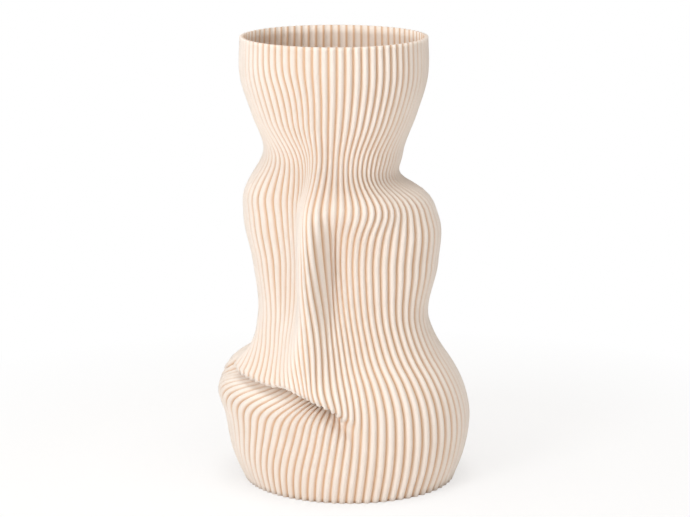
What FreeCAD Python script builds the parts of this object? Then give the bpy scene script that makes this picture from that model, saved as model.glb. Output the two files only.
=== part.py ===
import FreeCAD, Part
import math
import os

# A tall hollow vase with vertical ribs all round and an abstract long face on its front.
# Millimetres. Z is up, the foot rests on Z = 0 and its middle is the origin; the face looks along -Y.
# Angles go round the rib axis: 0 is the front (-Y), 90 is the vase's +X side.

# ---------------------------------------------------------------- sizes, each written once
SIZES = {
    "vase_height": 300,          # foot to rim
    "rib_count": 72,             # ribs round the wall
    "rib_depth": 2.2,            # crest to valley outside, where the ribs are at full pitch
    "rib_depth_inside": 1,       # the same on the inside
    "rib_share": 0.45,           # most a rib may stand out, as a share of its own pitch
    "rib_roundness": 1.3,        # 1 is a half-round rib with a sharp valley, 2 a plain wave
    "rib_turn": 2,               # degrees from the front to the nearest rib valley
    "wall_thickness": 1.6,       # measured at the crests
    "floor_thickness": 3,        # solid bottom layers
    "rib_axis_right": -8,        # the ribs are spaced evenly round this upright line,
    "rib_axis_back": -10,        # which is also the middle of the rim
    "foot_blend": 14,            # the face fades out over this height above the foot
    "rim_blend": 30,             # and over this height below the rim
    "mouth_left": -90,           # where the mouth ends, degrees from the front
    "mouth_right": 31,
    "mouth_fade": 26,            # degrees over which it grows from nothing at each end
    "collar_flare_share": 0.36,  # how far up the collar its flaring section is
    "collar_full_share": 0.67,   # how far up the collar it reaches its full width
}

# Plain sections, bottom to top: height, half width, half depth, centre to the right, centre to the back
SECTION_FIELDS = ("height", "half_width", "half_depth", "right", "back")
SECTIONS = {
    "foot": (0, 69, 69, 0, 0),
    "heel": (20, 77, 76, -1, 1),
    "belly": (45, 81, 80, -2, 2),
    "shoulder": (66, 80, 78, -6, 0),
    "shoulder_top": (78, 73.5, 71, -5.5, -1),
    "slope": (88, 63.5, 60, -1.5, -2),
    "waist": (110, 56, 50, -3, -5),
    "jaw": (150, 61, 50, -2, -4),
    "temple": (180, 64, 51, -5, -4),
    "crown": (195, 59, 48, -8.5, -4),
    "crown_top": (204, 49.5, 44, -14, -4),
    "neck": (222, 45, 41, -10, -5),
    "flare": (None, 53, 53, -8, -9),
    "collar": (None, 60, 60, -8, -10),
    "rim": (None, 60, 60, -8, -10),
}

# Pulls shape the face. Each is a soft stroke that moves the wall outwards: where round the vase
# and at what height its middle is, half its width in degrees, half its height, and how far out.
PULL_FIELDS = ("around", "height", "half_width", "half_height", "out")
PULLS = {
    "nose": (-1, 152, 9, 52, 25),
    "nose_side": (13, 196, 11, 18, 6),
    "nose_tip": (-2, 98, 22, 24, 13),
    "right_brow": (32, 194, 28, 14, 14),
    "right_socket": (14, 162, 9, 30, -5),
    "left_socket": (-36, 165, 16, 40, -4),
    "left_brow": (-60, 198, 25, 12, 3),
}

# The mouth is a slanting line across the face, given by its height at a few places round the vase
MOUTH_FIELDS = ("around", "height")
MOUTH_LINE = {
    "far_left": (-110, 84),
    "left": (-70, 82),
    "left_of_nose": (-24, 81),
    "under_nose": (-3, 81),
    "right_of_nose": (10, 72),
    "right": (26, 56),
    "far_right": (60, 48),
}

# Folds run along the mouth line: how far above it, half the height above and below their own
# middle, how far out and how far up they move the wall.
FOLD_FIELDS = ("above", "reach_up", "reach_down", "out", "up")
FOLDS = {
    "upper_lip": (3, 15, 4, 10, -5),
    "gap": (-6, 5, 11, -19, 1),
    "lower_lip": (-20, 9, 14, 4, 5),
}

# Drapes turn the ribs round the vase without moving the wall in or out; "around" is the rib's own
# angle at the rim.
DRAPE_FIELDS = ("around", "height", "half_width", "half_height", "turn")
DRAPES = {
    "left_cheek": (-26, 170, 26, 50, 14),
    "left_jaw": (-34, 80, 38, 46, 18),
    "bridge": (3, 195, 16, 45, -5),
    "right_cheek": (50, 158, 45, 55, -8),
    "mouth_corner": (-82, 80, 48, 18, 24),
    "chin": (0, 52, 28, 36, 4),
    "nose_tip": (-6, 86, 16, 16, -3),
    "inside_mouth": (-36, 66, 30, 9, 8),
    "left_collar": (-22, 264, 22, 20, 4),
}

STROKES = (("_pull_", PULL_FIELDS, PULLS), ("_mouth_", MOUTH_FIELDS, MOUTH_LINE),
           ("_fold_", FOLD_FIELDS, FOLDS), ("_drape_", DRAPE_FIELDS, DRAPES))

# How finely the wall is laid out; these change the smoothness, not the shape
RIB_STEPS = 6
COARSE_STEP = 5.0
FINE_STEP = 2.0
FINE_FROM = 40.0
FINE_TO = 104.0

# Each rib's surface is made in lengths that meet exactly, so its volume is measured well; the cuts
# are given as shares of the height
RIB_LENGTHS = (0.0, 0.15, 0.25, 0.35, 0.55, 0.75, 1.0)


# ---------------------------------------------------------------- the sheet
def fill_sheet(doc):
    """Puts every size into a spreadsheet, one named cell each."""
    sheet = doc.addObject("Spreadsheet::Sheet", "sizes")
    rows = list(SIZES.items())
    for name, values in SECTIONS.items():
        rows += [(name + "_section_" + field, value)
                 for field, value in zip(SECTION_FIELDS, values) if value is not None]
    for kind, fields, table in STROKES:
        for name, values in table.items():
            rows += [(name + kind + field, value) for field, value in zip(fields, values)]
    for row, (alias, value) in enumerate(rows, start=1):
        sheet.set("A%d" % row, alias)
        sheet.set("B%d" % row, str(value))
        sheet.setAlias("B%d" % row, alias)
    doc.recompute()
    return sheet


def read(sheet, alias):
    return float(getattr(sheet, alias))


def read_sections(sheet):
    """The plain sections from foot to rim, with the collar's heights tied to the neck and the rim."""
    sections = []
    rim = read(sheet, "vase_height")
    neck = read(sheet, "neck_section_height")
    collar_heights = {
        "flare": neck + read(sheet, "collar_flare_share") * (rim - neck),
        "collar": neck + read(sheet, "collar_full_share") * (rim - neck),
        "rim": rim,
    }
    for name in SECTIONS:
        height = collar_heights.get(name)
        if height is None:
            height = read(sheet, name + "_section_height")
        sections.append([height] + [read(sheet, name + "_section_" + field)
                                    for field in SECTION_FIELDS[1:]])
    return sections


def read_strokes(sheet):
    """The pulls, the mouth line, the folds and the drapes, as rows of numbers."""
    return [[[read(sheet, name + kind + field) for field in fields] for name in table]
            for kind, fields, table in STROKES]


# ---------------------------------------------------------------- the shape of the wall
def line_slopes(rows):
    """A slope at each row, so that the other values run smoothly with the first one."""
    gaps = [b[0] - a[0] for a, b in zip(rows, rows[1:])]
    rises = [[(q - p) / gap for p, q in zip(a[1:], b[1:])]
             for a, b, gap in zip(rows, rows[1:], gaps)]
    slopes = [rises[0]]
    for low, high, gap_low, gap_high in zip(rises, rises[1:], gaps, gaps[1:]):
        slopes.append([(p * gap_high + q * gap_low) / (gap_low + gap_high) for p, q in zip(low, high)])
    slopes.append([0.0] * (len(rows[0]) - 1))
    return slopes


def line_at(rows, slopes, place):
    """The other values of the rows where the first one is at the place."""
    index = 0
    while index < len(rows) - 2 and place > rows[index + 1][0]:
        index += 1
    low, high = rows[index], rows[index + 1]
    gap = high[0] - low[0]
    t = min(1.0, max(0.0, (place - low[0]) / gap))
    a, b = 2 * t ** 3 - 3 * t ** 2 + 1, (t ** 3 - 2 * t ** 2 + t) * gap
    c, d = 3 * t ** 2 - 2 * t ** 3, (t ** 3 - t ** 2) * gap
    return [a * p + b * m + c * q + d * n
            for p, m, q, n in zip(low[1:], slopes[index], high[1:], slopes[index + 1])]


def smooth(t):
    t = min(1.0, max(0.0, t))
    return t * t * (3 - 2 * t)


def half_turn(angle):
    return (angle + 180) % 360 - 180


def bell(reach):
    return math.exp(-reach) if reach < 14 else 0.0


class Form:
    """The smooth middle surface of the wall, before the ribs."""

    def __init__(self, sheet):
        self.sections = read_sections(sheet)
        self.slopes = line_slopes(self.sections)
        self.pulls, self.mouth, self.folds, self.drapes = read_strokes(sheet)
        self.mouth_slopes = line_slopes(self.mouth)
        self.top = read(sheet, "vase_height")
        self.axis = (read(sheet, "rib_axis_right"), read(sheet, "rib_axis_back"))
        self.blends = (read(sheet, "foot_blend"), read(sheet, "rim_blend"))
        self.mouth_ends = (read(sheet, "mouth_left"), read(sheet, "mouth_right"))
        self.mouth_fade = read(sheet, "mouth_fade")

    def calm(self, height):
        """0 at the foot and the rim, which stay flat and plain, and 1 over the face."""
        return smooth(height / self.blends[0]) * smooth((self.top - height) / self.blends[1])

    def draped(self, angle, height):
        """Where a rib that starts at an angle of the rim has turned to at a height."""
        turn = 0.0
        for around, middle, half_width, half_height, degrees in self.drapes:
            turn += degrees * bell((half_turn(angle - around) / half_width) ** 2
                                   + ((height - middle) / half_height) ** 2)
        return angle + turn * smooth((self.top - height) / self.blends[1])

    def face(self, angle, height):
        """How far the face moves the wall out and up at a place."""
        out = up = 0.0
        for around, middle, half_width, half_height, move in self.pulls:
            out += move * bell((half_turn(angle - around) / half_width) ** 2
                               + ((height - middle) / half_height) ** 2)
        across = half_turn(angle)
        line = line_at(self.mouth, self.mouth_slopes, across)[0]
        share = (smooth((across - self.mouth_ends[0]) / self.mouth_fade)
                 * smooth((self.mouth_ends[1] - across) / self.mouth_fade))
        for above, reach_up, reach_down, fold_out, fold_up in self.folds:
            offset = height - line - above
            near = share * bell((offset / (reach_up if offset > 0 else reach_down)) ** 2)
            out += fold_out * near
            up += fold_up * near
        return out, up

    def point(self, rib_angle, height):
        angle = self.draped(rib_angle, height)
        half_width, half_depth, right, back = line_at(self.sections, self.slopes, height)
        right, back = right - self.axis[0], back - self.axis[1]
        turn = math.radians(angle)
        x, y = math.sin(turn), -math.cos(turn)
        a = (x / half_width) ** 2 + (y / half_depth) ** 2
        b = x * right / half_width ** 2 + y * back / half_depth ** 2
        c = (right / half_width) ** 2 + (back / half_depth) ** 2 - 1
        out, up = (move * self.calm(height) for move in self.face(angle, height))
        radius = (b + math.sqrt(b * b - a * c)) / a + out
        return FreeCAD.Vector(self.axis[0] + radius * x, self.axis[1] + radius * y, height + up)


def row_heights(top):
    """Heights of the rows of points, closer together over the mouth."""
    heights, height = [], 0.0
    while height < top - 0.6 * COARSE_STEP:
        heights.append(height)
        height += FINE_STEP if FINE_FROM <= height < FINE_TO else COARSE_STEP
    return heights + [top]


def wall_grids(sheet):
    """Points of the ribbed outside and inside of the wall, as columns from foot to rim."""
    form = Form(sheet)
    count = int(read(sheet, "rib_count"))
    heights = row_heights(form.top)
    columns = count * RIB_STEPS
    pitch_angle = 360.0 / count
    angles = [read(sheet, "rib_turn") + 360.0 * c / columns for c in range(columns)]
    middle = [[form.point(angle, height) for height in heights] for angle in angles]
    half_wall = read(sheet, "wall_thickness") / 2
    share, roundness = read(sheet, "rib_share"), read(sheet, "rib_roundness")
    depths = (read(sheet, "rib_depth"), read(sheet, "rib_depth_inside"))
    outside, inside = [], []
    for c in range(columns):
        wave = abs(math.sin(math.pi * c / RIB_STEPS)) ** roundness
        before, after = middle[c - 1], middle[(c + 1) % columns]
        out_column, in_column = [], []
        for r, height in enumerate(heights):
            across = after[r] - before[r]
            along = middle[c][min(r + 1, len(heights) - 1)] - middle[c][max(r - 1, 0)]
            normal = across.cross(along)
            normal.z *= form.calm(height)
            normal.normalize()
            pitch = across.Length * RIB_STEPS / 2
            deep, deep_in = (min(depth, share * pitch) for depth in depths)
            out_column.append(middle[c][r] + normal * (half_wall + deep * (wave - 0.5)))
            in_column.append(middle[c][r] + normal * (deep_in * (wave - 0.5) - half_wall))
        outside.append(out_column)
        inside.append(in_column)
    return outside, inside, heights


# ---------------------------------------------------------------- surfaces
def spline_poles(points, places):
    """Control points, knots and multiplicities of the smooth curve through the points."""
    curve = Part.BSplineCurve()
    curve.interpolate(Points=points, Parameters=places)
    return curve.getPoles(), curve.getKnots(), curve.getMultiplicities()


def rib_surfaces(columns, heights):
    """One smooth surface for each rib, from valley to valley; neighbours share their edges."""
    top = heights[-1]
    places = [height / top for height in heights]
    fitted = [spline_poles(column, places) for column in columns]
    across = [step / float(RIB_STEPS) for step in range(RIB_STEPS + 1)]
    up_knots, up_mults = fitted[0][1], fitted[0][2]
    surfaces = []
    for start in range(0, len(columns), RIB_STEPS):
        strip = [fitted[(start + step) % len(columns)][0] for step in range(RIB_STEPS + 1)]
        rows = [spline_poles([column[r] for column in strip], across) for r in range(len(strip[0]))]
        poles = [[row[0][i] for row in rows] for i in range(len(rows[0][0]))]
        surface = Part.BSplineSurface()
        surface.buildFromPolesMultsKnots(poles, rows[0][2], up_mults, rows[0][1], up_knots,
                                         False, False, 3, 3)
        surfaces.append(surface)
    return surfaces


def lengths(surface):
    """The faces of one rib, cut into shorter lengths."""
    pieces = []
    for low, high in zip(RIB_LENGTHS, RIB_LENGTHS[1:]):
        piece = surface.copy()
        piece.segment(0, 1, low, high)
        pieces.append(piece.toShape())
    return pieces


def end_wire(surfaces, at_top):
    """The closed outline of a ribbed surface at the rim or the foot."""
    edges = []
    for surface in surfaces:
        u0, u1, v0, v1 = surface.bounds()
        edges.append(surface.vIso(v1 if at_top else v0).toShape())
    return Part.Wire(edges)


def closed_solid(faces):
    shell = Part.Shell(faces)
    shell.sewShape()
    solid = Part.Solid(shell)
    if solid.Volume < 0:
        solid.reverse()
    return solid


def ring_face(outer_wire, inner_wire):
    return Part.makeFace([outer_wire, inner_wire], "Part::FaceMakerBullseye")


# ---------------------------------------------------------------- the model
def shape_object(doc, name, shape):
    feature = doc.addObject("Part::Feature", name)
    feature.Shape = shape
    feature.Placement = FreeCAD.Placement()
    return feature


def build(doc):
    sheet = fill_sheet(doc)
    outside, inside, heights = wall_grids(sheet)
    outer = rib_surfaces(outside, heights)
    inner = rib_surfaces(inside, heights)
    rings = [ring_face(end_wire(outer, top), end_wire(inner, top)) for top in (False, True)]
    outer_faces = [face for surface in outer for face in lengths(surface)]
    inner_faces = [face for surface in inner for face in lengths(surface)]
    wall_faces = outer_faces + inner_faces + rings
    wall = shape_object(doc, "wall", closed_solid(wall_faces))
    wall.Label = "vase_wall"

    lids = [Part.Face(end_wire(inner, top)) for top in (False, True)]
    hollow = shape_object(doc, "hollow", closed_solid(inner_faces + lids))
    layer = doc.addObject("Part::Cylinder", "floor_layer")
    layer.setExpression("Radius", "sizes.belly_section_half_width + 2 * sizes.rib_depth + 20")
    layer.setExpression("Height", "sizes.floor_thickness")
    bottom = doc.addObject("Part::MultiCommon", "floor")
    bottom.Shapes = [hollow, layer]
    bottom.Label = "vase_floor"
    doc.recompute()
    return [wall, bottom]


def check(doc, parts):
    for thing in doc.Objects:
        if "Invalid" in thing.State or "Error" in thing.State:
            raise RuntimeError(thing.Name + " did not build")
    for thing in parts:
        shape = thing.Shape
        if shape.isNull() or not shape.isValid() or len(shape.Solids) != 1 or shape.Volume <= 0:
            raise RuntimeError(thing.Label + " is not one sound solid")


def main():
    os.makedirs("parts", exist_ok=True)
    doc = FreeCAD.newDocument("vase")
    parts = build(doc)
    check(doc, parts)
    for thing in parts:
        thing.Shape.exportStep("parts/%s.step" % thing.Label)
        box = thing.Shape.BoundBox
        print("%s: %.0f mm3, box %.1f x %.1f x %.1f from %.1f %.1f %.1f" % (
            thing.Label, thing.Shape.Volume, box.XLength, box.YLength, box.ZLength,
            box.XMin, box.YMin, box.ZMin))


main()
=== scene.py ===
import math

import bpy
import numpy as np
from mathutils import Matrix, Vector


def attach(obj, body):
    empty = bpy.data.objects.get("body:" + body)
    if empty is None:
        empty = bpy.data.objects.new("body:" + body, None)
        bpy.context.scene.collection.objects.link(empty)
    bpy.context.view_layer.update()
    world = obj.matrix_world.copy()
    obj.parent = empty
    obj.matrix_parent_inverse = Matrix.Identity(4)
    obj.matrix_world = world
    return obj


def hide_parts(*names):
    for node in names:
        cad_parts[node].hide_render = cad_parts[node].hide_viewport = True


# A tall printed vase: a ribbed wall with an abstract long face, standing on a pale studio floor.
# The vase's own sizes are in millimetres and its angles in degrees: they go round the rib axis, 0 is
# the front (-Y) and 90 the +X side. Meshes are made in metres.
MM = 0.001

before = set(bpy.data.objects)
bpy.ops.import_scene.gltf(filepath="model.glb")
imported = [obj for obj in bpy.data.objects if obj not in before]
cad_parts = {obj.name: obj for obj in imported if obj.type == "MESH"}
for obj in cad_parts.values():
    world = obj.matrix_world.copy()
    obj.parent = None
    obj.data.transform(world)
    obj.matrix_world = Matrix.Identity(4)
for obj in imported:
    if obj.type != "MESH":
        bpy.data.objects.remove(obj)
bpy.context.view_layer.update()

# ---------------------------------------------------------------- sizes of the vase
VASE_HEIGHT = 300            # foot to rim
RIB_COUNT = 72               # ribs round the wall
RIB_DEPTH = 2.2              # crest to valley outside, where the ribs are at full pitch
RIB_DEPTH_INSIDE = 1         # the same on the inside
RIB_SHARE = 0.45             # most a rib may stand out, as a share of its own pitch
RIB_ROUNDNESS = 1.3          # 1 is a half-round rib with a sharp valley, 2 a plain wave
RIB_TURN = 2                 # from the front to the nearest rib valley
WALL_THICKNESS = 1.6         # halfway up the ribs: more at their crests, less in their valleys
RIB_AXIS = (-8, -10)         # right and back of the foot's middle
FOOT_BLEND = 14              # the face fades out over this height above the foot
RIM_BLEND = 30               # and over this height below the rim
MOUTH_ENDS = (-90, 31)
MOUTH_FADE = 26              # the mouth grows from nothing over this much at each end
COLLAR_SHARES = (0.36, 0.67)  # how far up the collar it flares, and where it reaches its full width

# Plain sections: height, half width, half depth, centre to the right, centre to the back
SECTIONS = (
    (0, 69, 69, 0, 0),          # foot
    (20, 77, 76, -1, 1),        # heel
    (45, 81, 80, -2, 2),        # belly
    (66, 80, 78, -6, 0),        # shoulder
    (78, 73.5, 71, -5.5, -1),   # top of the shoulder
    (88, 63.5, 60, -1.5, -2),   # slope
    (110, 56, 50, -3, -5),      # waist
    (150, 61, 50, -2, -4),      # jaw
    (180, 64, 51, -5, -4),      # temple
    (195, 59, 48, -8.5, -4),    # crown
    (204, 49.5, 44, -14, -4),   # top of the crown
    (222, 45, 41, -10, -5),     # neck
)

# The flare, the full collar and the rim are given the same way, without the height
COLLAR_SECTIONS = ((53, 53, -8, -9), (60, 60, -8, -10), (60, 60, -8, -10))

# Pulls: where round the vase, at what height, half width in degrees, half height, how far out
PULLS = (
    (-1, 152, 9, 52, 25),       # nose
    (13, 196, 11, 18, 6),       # its right side
    (-2, 98, 22, 24, 13),       # its tip
    (32, 194, 28, 14, 14),      # right brow
    (14, 162, 9, 30, -5),       # right eye socket
    (-36, 165, 16, 40, -4),     # left eye socket
    (-60, 198, 25, 12, 3),      # left brow
)

# The mouth line: its height at places round the vase
MOUTH_LINE = ((-110, 84), (-70, 82), (-24, 81), (-3, 81), (10, 72), (26, 56), (60, 48))

# Folds along it: how far above, half height above and below, how far out, how far up
FOLDS = (
    (3, 15, 4, 10, -5),         # upper lip
    (-6, 5, 11, -19, 1),        # gap
    (-20, 9, 14, 4, 5),         # lower lip
)

# Drapes: the rib's angle at the rim, height, half width, half height, how far it turns
DRAPES = (
    (-26, 170, 26, 50, 14),     # left cheek
    (-34, 80, 38, 46, 18),      # left of the jaw
    (3, 195, 16, 45, -5),       # bridge of the nose
    (50, 158, 45, 55, -8),      # right cheek
    (-82, 80, 48, 18, 24),      # left corner of the mouth
    (0, 52, 28, 36, 4),         # chin
    (-6, 86, 16, 16, -3),       # tip of the nose
    (-36, 66, 30, 9, 8),        # inside the mouth
    (-22, 264, 22, 20, 4),      # left of the collar
)

# How finely the wall is laid out
RIB_STEPS = 8                # columns of points to a rib
ROW_STEP = 3.4
FOLD_ROW_STEP = 1.7          # rows lie closer over the mouth
FOLD_ROWS = (44, 100)        # between these heights
LAST_ROW_SHARE = 0.6         # the row below the rim is at least this share of a step from it
INSIDE_ROW_EVERY = 2         # the inside has every second row


# ---------------------------------------------------------------- the shape rule
def smooth(t):
    """Eases from 0 to 1 while t goes from 0 to 1."""
    t = np.clip(t, 0, 1)
    return t * t * (3 - 2 * t)


def half_turn(angle):
    """The same angle between -180 and 180."""
    return (angle + 180) % 360 - 180


def line_at(rows, place):
    """The other values of the rows where the first is at each place, run smoothly between rows."""
    rows = np.array(rows, float)
    knots, values = rows[:, 0], rows[:, 1:]
    gaps = np.diff(knots)
    rises = np.diff(values, axis=0) / gaps[:, None]
    slopes = np.zeros_like(values)
    slopes[0] = rises[0]
    slopes[1:-1] = ((rises[:-1] * gaps[1:, None] + rises[1:] * gaps[:-1, None])
                    / (gaps[:-1] + gaps[1:])[:, None])
    low = np.clip(np.searchsorted(knots, place, side="right") - 1, 0, len(knots) - 2)
    gap = gaps[low]
    t = np.clip((place - knots[low]) / gap, 0, 1)
    parts = (2 * t ** 3 - 3 * t ** 2 + 1, (t ** 3 - 2 * t ** 2 + t) * gap,
             3 * t ** 2 - 2 * t ** 3, (t ** 3 - t ** 2) * gap)
    curves = (values[low], slopes[low], values[low + 1], slopes[low + 1])
    return sum(part[..., None] * curve for part, curve in zip(parts, curves))


def all_sections():
    """The plain sections from foot to rim, with the collar's heights tied to the neck and the rim."""
    neck = SECTIONS[-1][0]
    heights = [neck + share * (VASE_HEIGHT - neck) for share in COLLAR_SHARES] + [VASE_HEIGHT]
    return list(SECTIONS) + [(h,) + sizes for h, sizes in zip(heights, COLLAR_SECTIONS)]


def calm(height):
    """0 at the foot and the rim, which stay flat and plain, and 1 over the face."""
    return smooth(height / FOOT_BLEND) * smooth((VASE_HEIGHT - height) / RIM_BLEND)


def draped(angle, height):
    """Where round the vase a rib is at each height."""
    turn = 0
    for around, middle, half_width, half_height, degrees in DRAPES:
        turn = turn + degrees * np.exp(-(half_turn(angle - around) / half_width) ** 2
                                       - ((height - middle) / half_height) ** 2)
    return angle + turn * smooth((VASE_HEIGHT - height) / RIM_BLEND)


def face_moves(angle, height):
    """How far the face moves the wall out and up."""
    out, up = 0, 0
    for around, middle, half_width, half_height, move in PULLS:
        out = out + move * np.exp(-(half_turn(angle - around) / half_width) ** 2
                                  - ((height - middle) / half_height) ** 2)
    across = half_turn(angle)
    line = line_at(MOUTH_LINE, across)[..., 0]
    share = (smooth((across - MOUTH_ENDS[0]) / MOUTH_FADE)
             * smooth((MOUTH_ENDS[1] - across) / MOUTH_FADE))
    for above, reach_up, reach_down, fold_out, fold_up in FOLDS:
        offset = height - line - above
        near = share * np.exp(-(offset / np.where(offset > 0, reach_up, reach_down)) ** 2)
        out, up = out + fold_out * near, up + fold_up * near
    return out, up


def smooth_form(rib_angle, height):
    """Points of the smooth middle surface of the wall: each plain section is an ellipse, met by a ray
    from the rib axis, and the face moves it from there."""
    angle = draped(rib_angle, height)
    half_width, half_depth, right, back = np.moveaxis(line_at(all_sections(), height), -1, 0)
    right, back = right - RIB_AXIS[0], back - RIB_AXIS[1]
    turn = np.radians(angle)
    x, y = np.sin(turn), -np.cos(turn)
    a = (x / half_width) ** 2 + (y / half_depth) ** 2
    b = x * right / half_width ** 2 + y * back / half_depth ** 2
    c = (right / half_width) ** 2 + (back / half_depth) ** 2 - 1
    out, up = face_moves(angle, height)
    radius = (b + np.sqrt(b * b - a * c)) / a + out * calm(height)
    return np.stack([RIB_AXIS[0] + radius * x, RIB_AXIS[1] + radius * y,
                     height + up * calm(height)], -1)


def row_heights():
    """Heights of the rows of points, from foot to rim."""
    heights, height = [], 0.0
    while height < VASE_HEIGHT - LAST_ROW_SHARE * ROW_STEP:
        heights.append(height)
        height += FOLD_ROW_STEP if FOLD_ROWS[0] <= height < FOLD_ROWS[1] else ROW_STEP
    return np.array(heights + [VASE_HEIGHT])


def form_grid():
    """Points, outward normals, rib pitch and place across the rib (0 to 1), on rows from foot to rim by
    columns round the vase."""
    columns = RIB_COUNT * RIB_STEPS
    angles = RIB_TURN + 360.0 * np.arange(columns) / columns
    heights = row_heights()
    angle, height = np.meshgrid(angles, heights)
    points = smooth_form(angle, height)
    across = np.roll(points, -1, axis=1) - np.roll(points, 1, axis=1)
    along = points[np.minimum(np.arange(len(heights)) + 1, len(heights) - 1)]
    along = along - points[np.maximum(np.arange(len(heights)) - 1, 0)]
    normals = np.cross(across, along)
    normals[..., 2] *= calm(height)
    normals /= np.linalg.norm(normals, axis=-1, keepdims=True)
    pitch = np.linalg.norm(across, axis=-1) * RIB_STEPS / 2
    phase = np.broadcast_to((np.arange(columns) % RIB_STEPS) / RIB_STEPS, pitch.shape)
    return points, normals, pitch, phase


# ---------------------------------------------------------------- meshes
def add_attribute(mesh, name, kind, values):
    """Stores one value or vector for each point of a mesh."""
    layer = mesh.attributes.new(name, kind, "POINT")
    layer.data.foreach_set("vector" if kind == "FLOAT_VECTOR" else "value",
                           np.asarray(values, np.float32).ravel())


def closed_form_mesh():
    """The smooth form as one closed skin of no thickness: up the outside, over the rim, down the
    inside and back across the foot. Each point carries what the ribs need."""
    points, normals, pitch, phase = form_grid()
    outside = np.arange(len(points))
    inside = outside[::-INSIDE_ROW_EVERY]
    if inside[-1] != 0:
        inside = np.append(inside, 0)
    order = np.concatenate([outside, inside])
    side = np.concatenate([np.ones(len(outside)), -np.ones(len(inside))])
    rows, columns = len(order), points.shape[1]
    index = np.arange(rows * columns).reshape(rows, columns)
    right = np.roll(index, -1, axis=1)
    above, above_right = np.roll(index, -1, axis=0), np.roll(right, -1, axis=0)
    quads = np.stack([index, right, above_right, above], -1).reshape(-1, 4)
    mesh = bpy.data.meshes.new("smooth_form")
    mesh.from_pydata((points[order] * MM).reshape(-1, 3).tolist(), [], quads.tolist())
    add_attribute(mesh, "outward", "FLOAT_VECTOR", normals[order])
    add_attribute(mesh, "pitch", "FLOAT", pitch[order] * MM)
    add_attribute(mesh, "phase", "FLOAT", phase[order])
    add_attribute(mesh, "side", "FLOAT", np.broadcast_to(side[:, None], pitch[order].shape))
    return mesh


def link(tree, source, target):
    tree.links.new(source, target)


def math_node(tree, operation, *values):
    """A Math node on sockets or plain numbers; gives its result's socket."""
    node = tree.nodes.new("ShaderNodeMath")
    node.operation = operation
    for socket, value in zip(node.inputs, values):
        if isinstance(value, bpy.types.NodeSocket):
            link(tree, value, socket)
        else:
            socket.default_value = value
    return node.outputs[0]


def named_attribute(tree, name, kind):
    node = tree.nodes.new("GeometryNodeInputNamedAttribute")
    node.data_type = kind
    node.inputs["Name"].default_value = name
    return next(socket for socket in node.outputs if socket.enabled and socket.name == "Attribute")


def rib_tree(material):
    """Geometry nodes that give the smooth form its wall and its ribs."""
    tree = bpy.data.node_groups.new("printed_ribs", "GeometryNodeTree")
    tree.interface.new_socket("Form", in_out="INPUT", socket_type="NodeSocketGeometry")
    for name in ("Rib Depth", "Inside Rib Depth", "Wall Thickness", "Rib Share", "Roundness"):
        tree.interface.new_socket(name, in_out="INPUT", socket_type="NodeSocketFloat")
    tree.interface.new_socket("Vase", in_out="OUTPUT", socket_type="NodeSocketGeometry")
    given = tree.nodes.new("NodeGroupInput").outputs
    phase = named_attribute(tree, "phase", "FLOAT")
    pitch = named_attribute(tree, "pitch", "FLOAT")
    side = named_attribute(tree, "side", "FLOAT")
    outward = named_attribute(tree, "outward", "FLOAT_VECTOR")

    wave = math_node(tree, "SINE", math_node(tree, "MULTIPLY", phase, math.pi))
    wave = math_node(tree, "POWER", math_node(tree, "ABSOLUTE", wave), given["Roundness"])
    is_outside = math_node(tree, "GREATER_THAN", side, 0.0)
    more = math_node(tree, "SUBTRACT", given["Rib Depth"], given["Inside Rib Depth"])
    depth = math_node(tree, "MULTIPLY_ADD", is_outside, more, given["Inside Rib Depth"])
    depth = math_node(tree, "MINIMUM", depth, math_node(tree, "MULTIPLY", pitch, given["Rib Share"]))
    stand = math_node(tree, "MULTIPLY", depth, math_node(tree, "SUBTRACT", wave, 0.5))
    half_wall = math_node(tree, "MULTIPLY", given["Wall Thickness"], 0.5)
    offset = math_node(tree, "MULTIPLY_ADD", side, half_wall, stand)

    scale = tree.nodes.new("ShaderNodeVectorMath")
    scale.operation = "SCALE"
    link(tree, outward, scale.inputs[0])
    link(tree, offset, scale.inputs["Scale"])
    keep = tree.nodes.new("GeometryNodeStoreNamedAttribute")
    keep.data_type = "FLOAT"
    keep.domain = "POINT"
    keep.inputs["Name"].default_value = "rib_height"
    link(tree, given["Form"], keep.inputs["Geometry"])
    link(tree, wave, keep.inputs["Value"])
    place = tree.nodes.new("GeometryNodeSetPosition")
    link(tree, keep.outputs[0], place.inputs["Geometry"])
    link(tree, scale.outputs[0], place.inputs["Offset"])
    shade = tree.nodes.new("GeometryNodeSetShadeSmooth")
    link(tree, place.outputs[0], shade.inputs["Geometry"])
    real = tree.nodes.new("GeometryNodeRealizeInstances")
    link(tree, shade.outputs[0], real.inputs["Geometry"])
    coat = tree.nodes.new("GeometryNodeSetMaterial")
    coat.inputs["Material"].default_value = material
    link(tree, real.outputs[0], coat.inputs["Geometry"])
    result = tree.nodes.new("NodeGroupOutput")
    link(tree, coat.outputs[0], result.inputs["Vase"])
    return tree


def set_inputs(modifier, tree, values):
    """Sets a modifier's inputs from their names in its tree."""
    for item in tree.interface.items_tree:
        if item.in_out == "INPUT" and item.name in values:
            modifier[item.identifier] = float(values[item.name])


def plain_mesh(piece):
    """Turns a piece's nodes into a plain mesh of its own."""
    graph = bpy.context.evaluated_depsgraph_get()
    mesh = bpy.data.meshes.new_from_object(piece.evaluated_get(graph))
    piece.modifiers.clear()
    piece.data = mesh
    return mesh


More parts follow.
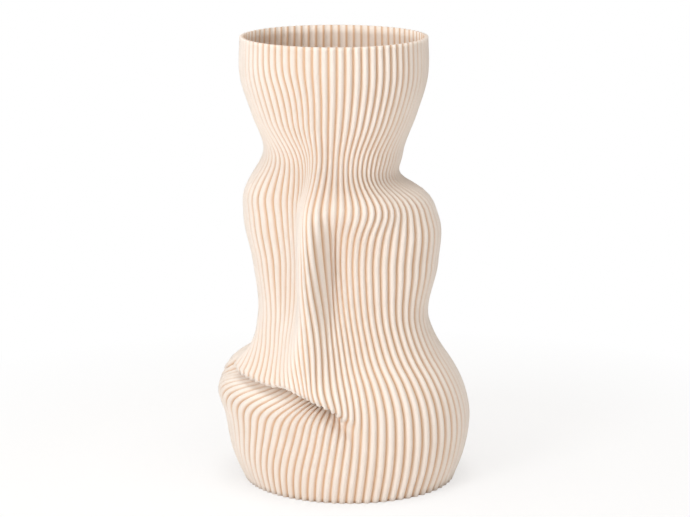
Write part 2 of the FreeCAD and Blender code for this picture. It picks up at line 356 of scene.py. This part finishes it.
def make_wall(material):
    """The ribbed wall, outside and inside, from foot to rim."""
    piece = bpy.data.objects.new("vase_ribbed_wall", closed_form_mesh())
    bpy.context.scene.collection.objects.link(piece)
    tree = rib_tree(material)
    modifier = piece.modifiers.new("printed_ribs", "NODES")
    modifier.node_group = tree
    set_inputs(modifier, tree, {
        "Rib Depth": RIB_DEPTH * MM, "Inside Rib Depth": RIB_DEPTH_INSIDE * MM,
        "Wall Thickness": WALL_THICKNESS * MM, "Rib Share": RIB_SHARE, "Roundness": RIB_ROUNDNESS})
    mesh = plain_mesh(piece)
    for name in ("outward", "pitch", "phase", "side"):
        mesh.attributes.remove(mesh.attributes[name])
    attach(piece, "root")
    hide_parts("vase_wall")


# ---------------------------------------------------------------- material
# Cream print: two tones that a soft mottling runs between, with small specks
CREAM_TONES = ((0.91, 0.82, 0.74), (0.93, 0.85, 0.78))
SPECK_TONE = (0.86, 0.73, 0.60)
CREASE_PAINTED_SHADE_TONE = (0.72, 0.46, 0.28)  # painted shade: darker and warmer in the valleys between ribs
LAYER_HEIGHT = 0.0004
MOTTLE_SIZE = 0.022
SPECK_SIZE = 0.0011

# Which values of the noise, or of the height on a rib, the tones change over
MOTTLE_RANGE = (0.35, 0.65)
SPECK_RANGE = (0.62, 0.8)
SPECK_SHARE = 0.5
# the painted crease shade runs from full to none over these heights on a rib, 0 in the valley and 1 at
# the crest
CREASE_PAINTED_SHADE_RANGE = (0.03, 0.62)

# How matt the print is, and how much of its grain can be felt
ROUGH_MOTTLE_RANGE = (0.3, 0.7)
ROUGHNESS = (0.50, 0.60)
SPECULAR = 0.3
GRAIN_STRENGTH = 0.18
GRAIN_DEPTH = 0.0001
SPECK_HEIGHT = 0.8
LAYER_LINE_HEIGHT = 0.5


def print_grain_group():
    """Fine layer lines and a soft mottling, shared by every printed surface."""
    group = bpy.data.node_groups.new("print_grain", "ShaderNodeTree")
    for name in ("Layer Height", "Mottle Size", "Speck Size"):
        group.interface.new_socket(name, in_out="INPUT", socket_type="NodeSocketFloat")
    for name in ("Height", "Mottle", "Specks"):
        group.interface.new_socket(name, in_out="OUTPUT", socket_type="NodeSocketFloat")
    given = group.nodes.new("NodeGroupInput").outputs
    result = group.nodes.new("NodeGroupOutput").inputs
    place = group.nodes.new("ShaderNodeTexCoord").outputs["Object"]
    parts = group.nodes.new("ShaderNodeSeparateXYZ")
    link(group, place, parts.inputs[0])

    def noise(size, detail):
        node = group.nodes.new("ShaderNodeTexNoise")
        node.inputs["Detail"].default_value = detail
        link(group, place, node.inputs["Vector"])
        link(group, math_node(group, "DIVIDE", 1.0, size), node.inputs["Scale"])
        return node.outputs[0]

    mottle = noise(given["Mottle Size"], 3.0)
    specks = noise(given["Speck Size"], 1.0)
    layers = math_node(group, "DIVIDE", parts.outputs["Z"], given["Layer Height"])
    layers = math_node(group, "SINE", math_node(group, "MULTIPLY", layers, 2 * math.pi))
    lines = math_node(group, "MULTIPLY", layers, LAYER_LINE_HEIGHT)
    link(group, math_node(group, "MULTIPLY_ADD", specks, SPECK_HEIGHT, lines), result["Height"])
    link(group, mottle, result["Mottle"])
    link(group, specks, result["Specks"])
    return group


def blend_colors(tree, share, low, high):
    """Runs from one colour to another, each a socket or three numbers; gives the result's socket."""
    node = tree.nodes.new("ShaderNodeMix")
    node.data_type = "RGBA"
    link(tree, share, node.inputs["Factor"])
    first, second = [socket for socket in node.inputs if socket.type == "RGBA"]
    for socket, value in ((first, low), (second, high)):
        if isinstance(value, bpy.types.NodeSocket):
            link(tree, value, socket)
        else:
            socket.default_value = (*value, 1)
    return next(socket for socket in node.outputs if socket.type == "RGBA")


def spread(tree, value, low, high, to_low=0.0, to_high=1.0):
    """Maps a range of a value onto another range."""
    node = tree.nodes.new("ShaderNodeMapRange")
    for socket, number in zip(node.inputs[1:5], (low, high, to_low, to_high)):
        socket.default_value = number
    link(tree, value, node.inputs[0])
    return node.outputs[0]


def printed_cream(grain, name, with_painted_crease_shade):
    """Warm cream print. On the ribs, shade is painted into the creases between them: a little darker
    and warmer there.
    """
    material = bpy.data.materials.new(name)
    material.use_nodes = True
    tree = material.node_tree
    shader = tree.nodes["Principled BSDF"]
    print_grain = tree.nodes.new("ShaderNodeGroup")
    print_grain.node_tree = grain
    print_grain.inputs["Layer Height"].default_value = LAYER_HEIGHT
    print_grain.inputs["Mottle Size"].default_value = MOTTLE_SIZE
    print_grain.inputs["Speck Size"].default_value = SPECK_SIZE
    mottle, specks = print_grain.outputs["Mottle"], print_grain.outputs["Specks"]
    tone = blend_colors(tree, spread(tree, mottle, *MOTTLE_RANGE), *CREAM_TONES)
    speck = spread(tree, specks, *SPECK_RANGE, 0.0, SPECK_SHARE)
    tone = blend_colors(tree, speck, tone, SPECK_TONE)
    if with_painted_crease_shade:
        # painted shade: the creases between ribs are made darker and warmer, by the height on the rib
        rib = tree.nodes.new("ShaderNodeAttribute")
        rib.attribute_name = "rib_height"
        painted_crease_shade = spread(tree, rib.outputs["Fac"], *CREASE_PAINTED_SHADE_RANGE, 1.0, 0.0)
        tone = blend_colors(tree, painted_crease_shade, tone, CREASE_PAINTED_SHADE_TONE)
    link(tree, tone, shader.inputs["Base Color"])
    link(tree, spread(tree, mottle, *ROUGH_MOTTLE_RANGE, *ROUGHNESS), shader.inputs["Roughness"])
    shader.inputs["Specular IOR Level"].default_value = SPECULAR
    bump = tree.nodes.new("ShaderNodeBump")
    bump.inputs["Strength"].default_value = GRAIN_STRENGTH
    bump.inputs["Distance"].default_value = GRAIN_DEPTH
    link(tree, print_grain.outputs["Height"], bump.inputs["Height"])
    link(tree, bump.outputs[0], shader.inputs["Normal"])
    return material


# ---------------------------------------------------------------- studio
FLOOR_REACH = 4.0            # metres from the middle to each edge
FLOOR_BOUNCE = 0.9           # how much light it throws back onto the vase
FLOOR_SHADE = 0.34           # as seen: the part that takes the vase's shadow
FLOOR_GLOW = 0.66            # and the part that doesn't
FLOOR_FADE = (0.22, 0.42)    # metres from the middle over which it fades to plain white
WORLD_TONE = (1.0, 0.94, 0.88)
WORLD_STRENGTH = 0.38
WHITE = (1, 1, 1)


def shader_node(tree, kind, color, strength=None):
    """A plain one-colour shader; gives its socket."""
    node = tree.nodes.new(kind)
    node.inputs["Color"].default_value = (*color, 1)
    if strength is not None:
        node.inputs["Strength"].default_value = strength
    return node.outputs[0]


def blend_shaders(tree, share, low, high):
    node = tree.nodes.new("ShaderNodeMixShader")
    for socket, source in zip(node.inputs, (share, low, high)):
        link(tree, source, socket)
    return node.outputs[0]


def seen_by_camera(tree, otherwise, seen):
    """One shader for what the camera sees and another for the light that reaches the vase."""
    is_camera = tree.nodes.new("ShaderNodeLightPath").outputs["Is Camera Ray"]
    return blend_shaders(tree, is_camera, otherwise, seen)


def studio_white():
    """Floor material: it keeps a soft shadow near the vase and is plain white further out."""
    material = bpy.data.materials.new("studio_white")
    material.use_nodes = True
    tree = material.node_tree
    tree.nodes.clear()
    bounce = shader_node(tree, "ShaderNodeBsdfDiffuse", (FLOOR_BOUNCE,) * 3)
    shade = shader_node(tree, "ShaderNodeBsdfDiffuse", (FLOOR_SHADE,) * 3)
    near = tree.nodes.new("ShaderNodeAddShader")
    link(tree, shade, near.inputs[0])
    link(tree, shader_node(tree, "ShaderNodeEmission", WHITE, FLOOR_GLOW), near.inputs[1])
    distance = tree.nodes.new("ShaderNodeVectorMath")
    distance.operation = "LENGTH"
    link(tree, tree.nodes.new("ShaderNodeTexCoord").outputs["Object"], distance.inputs[0])
    fade = spread(tree, distance.outputs["Value"], *FLOOR_FADE)
    seen = blend_shaders(tree, fade, near.outputs[0], shader_node(tree, "ShaderNodeEmission", WHITE, 1))
    out = tree.nodes.new("ShaderNodeOutputMaterial")
    link(tree, seen_by_camera(tree, bounce, seen), out.inputs["Surface"])
    return material


def studio_floor():
    mesh = bpy.data.meshes.new("studio_floor")
    corners = [(-FLOOR_REACH, -FLOOR_REACH, 0), (FLOOR_REACH, -FLOOR_REACH, 0),
               (FLOOR_REACH, FLOOR_REACH, 0), (-FLOOR_REACH, FLOOR_REACH, 0)]
    mesh.from_pydata(corners, [], [(0, 1, 2, 3)])
    mesh.materials.append(studio_white())
    floor = bpy.data.objects.new("studio_floor", mesh)
    bpy.context.scene.collection.objects.link(floor)


def studio_world():
    """A soft warm fill all round, which the camera sees as white."""
    world = bpy.data.worlds.new("studio")
    bpy.context.scene.world = world
    world.use_nodes = True
    tree = world.node_tree
    tree.nodes.clear()
    fill = shader_node(tree, "ShaderNodeBackground", WORLD_TONE, WORLD_STRENGTH)
    white = shader_node(tree, "ShaderNodeBackground", WHITE, 1)
    out = tree.nodes.new("ShaderNodeOutputWorld")
    link(tree, seen_by_camera(tree, fill, white), out.inputs["Surface"])


# ---------------------------------------------------------------- camera and lamps
# The camera stands on the +X side of the front, a little above the rim, and looks down at the vase
CAMERA_TURN = math.radians(15)
CAMERA_PITCH = math.radians(12.1)
CAMERA_PLACE = (7.3, 1647, 504)
CAMERA_LENS = 131.8
CAMERA_SENSOR = 36

# Places are aside, away and up from the foot of the rib axis, as seen from the camera's side
LAMPS_POINT_AT = (0, 0, 140)
LAMPS = (
    # name, place, size in metres, power in watts, colour
    ("key", (-900, 1200, 650), 0.6, 8.8, WHITE),
    ("front_fill", (500, 1400, 60), 0.9, 4.6, (1.0, 0.97, 0.94)),
    ("overhead", (-100, 200, 2100), 1.4, 22, WHITE),
)


def from_camera_side(aside, away, height):
    """A place given as seen from the camera's side of the vase, in metres."""
    return Vector((RIB_AXIS[0] + aside * math.cos(CAMERA_TURN) + away * math.sin(CAMERA_TURN),
                   RIB_AXIS[1] + aside * math.sin(CAMERA_TURN) - away * math.cos(CAMERA_TURN),
                   height)) * MM


def make_camera():
    data = bpy.data.cameras.new("camera")
    data.lens = CAMERA_LENS
    data.sensor_width = CAMERA_SENSOR
    camera = bpy.data.objects.new("camera", data)
    bpy.context.scene.collection.objects.link(camera)
    camera.location = from_camera_side(*CAMERA_PLACE)
    camera.rotation_euler = (math.pi / 2 - CAMERA_PITCH, 0, CAMERA_TURN)
    bpy.context.scene.camera = camera


def make_lamps():
    """Soft round lamps that all point at the middle of the vase."""
    target = from_camera_side(*LAMPS_POINT_AT)
    for name, place, size, power, color in LAMPS:
        lamp = bpy.data.lights.new(name, "AREA")
        lamp.shape = "DISK"
        lamp.size = size
        lamp.energy = power
        lamp.color = color
        stand = bpy.data.objects.new(name, lamp)
        bpy.context.scene.collection.objects.link(stand)
        stand.location = from_camera_side(*place)
        stand.rotation_euler = (target - stand.location).to_track_quat("-Z", "Y").to_euler()


# ---------------------------------------------------------------- all together
grain = print_grain_group()
# the wall's material has shade painted into its rib creases
make_wall(printed_cream(grain, "printed_cream_ribs", True))
floor_cream = printed_cream(grain, "printed_cream_floor", False)
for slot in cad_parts["vase_floor"].material_slots:
    slot.material = floor_cream
studio_floor()
studio_world()
make_camera()
make_lamps()

bpy.context.scene.view_settings.view_transform = "Standard"
